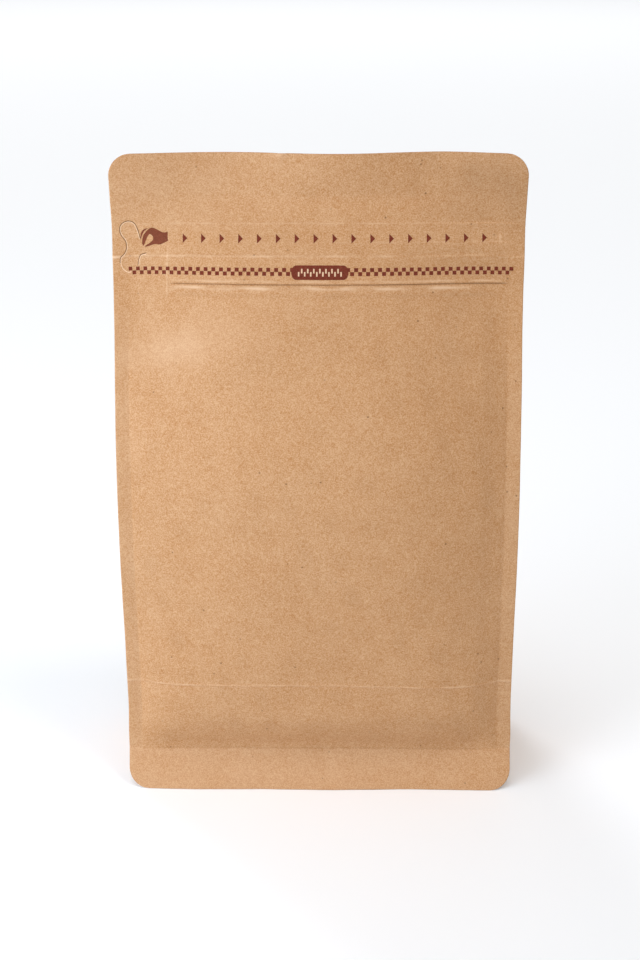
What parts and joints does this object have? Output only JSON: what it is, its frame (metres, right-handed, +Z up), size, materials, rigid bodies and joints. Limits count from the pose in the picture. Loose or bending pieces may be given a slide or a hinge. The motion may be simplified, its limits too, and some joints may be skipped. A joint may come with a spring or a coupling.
{
  "type": "flat bottom coffee bag",
  "caption": "Shut kraft coffee bag standing on a flat base, with folded side gussets, sealed corner fins, foot skirts, a pinched sealed top, a printed tear strip and a zipper band.",
  "frame": {"origin": "centre of the base, on the surface the bag stands on", "axes": "+Z up along the bag's height, +X across the panels to the right as seen from the front, -Y out of the printed front panel"},
  "size_m": [0.14, 0.0762, 0.226],
  "materials": {
    "kraft": "matt natural kraft paper laminate"
  },
  "bodies": {
    "root": {"bag": "kraft"}
  },
  "joints": []
}
